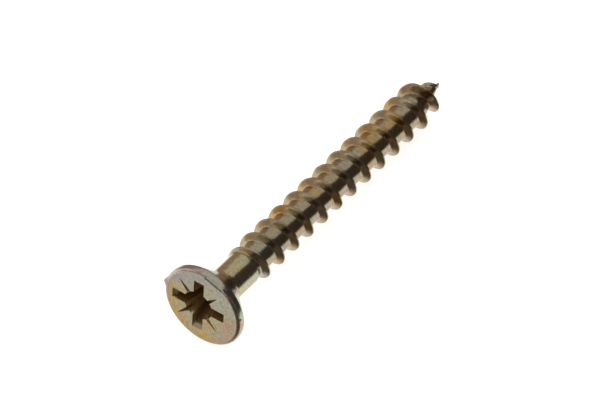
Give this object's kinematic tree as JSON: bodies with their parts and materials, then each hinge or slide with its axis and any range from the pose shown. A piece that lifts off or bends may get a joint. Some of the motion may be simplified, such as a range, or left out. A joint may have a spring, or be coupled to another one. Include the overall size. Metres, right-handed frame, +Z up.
{
  "type": "wood screw",
  "caption": "Countersunk wood screw with a cross recess, a short plain shank, a coarse right-hand thread and a sharp gimlet point.",
  "frame": {"origin": "on the screw's axis, halfway between the head face and the point", "axes": "+Y along the screw's axis from the head towards the point, so the head face looks along -Y; +Z up with the screw lying down; +X across it"},
  "size_m": [0.008, 0.035, 0.008],
  "materials": {
    "yellow_zinc_steel": "zinc plated and yellow passivated, satin with a faint iridescence"
  },
  "bodies": {
    "root": {"wood_screw": "yellow_zinc_steel"}
  },
  "joints": []
}
